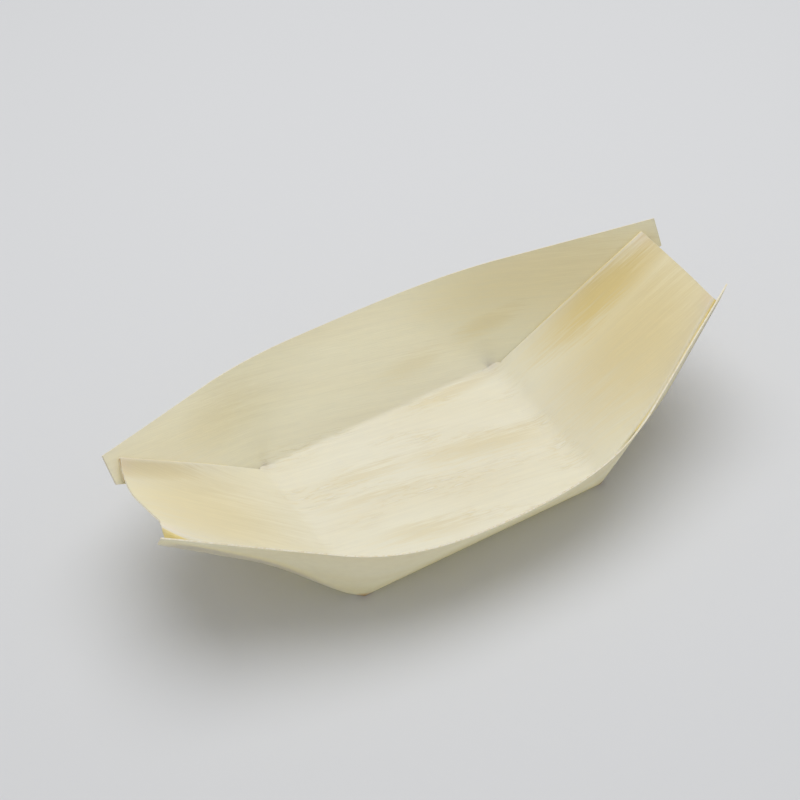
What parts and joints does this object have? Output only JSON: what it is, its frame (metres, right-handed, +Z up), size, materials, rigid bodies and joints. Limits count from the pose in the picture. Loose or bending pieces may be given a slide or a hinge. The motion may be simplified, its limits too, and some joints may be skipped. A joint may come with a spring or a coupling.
{
  "type": "wood veneer food boat",
  "caption": "Open serving boat folded from a rectangular blank of pine veneer with a paper backing; flared long walls, sloping ends and raised ears at glued corners hold a portion of food.",
  "frame": {"origin": "under the middle of the floor, on the surface the boat stands on", "axes": "+X along the boat to its right end, +Y to the back wall, +Z up"},
  "size_m": [0.1794, 0.0968, 0.0428],
  "materials": {
    "veneer": "raw sliced pine, fine grain along the boat",
    "paper": "uncoated matt off-white",
    "glue": "dried adhesive, satin"
  },
  "bodies": {
    "root": {"floor_veneer": "veneer", "floor_paper": "paper", "back_wall_veneer": "veneer", "back_wall_paper": "paper", "front_wall_veneer": "veneer", "front_wall_paper": "paper", "right_end_veneer": "veneer", "right_end_paper": "paper", "left_end_veneer": "veneer", "left_end_paper": "paper", "back_right_flap_veneer": "veneer", "back_right_flap_paper": "paper", "back_right_glue": "glue", "back_left_flap_veneer": "veneer", "back_left_flap_paper": "paper", "back_left_glue": "glue", "front_right_flap_veneer": "veneer", "front_right_flap_paper": "paper", "front_right_glue": "glue", "front_left_flap_veneer": "veneer", "front_left_flap_paper": "paper", "front_left_glue": "glue"}
  },
  "joints": []
}
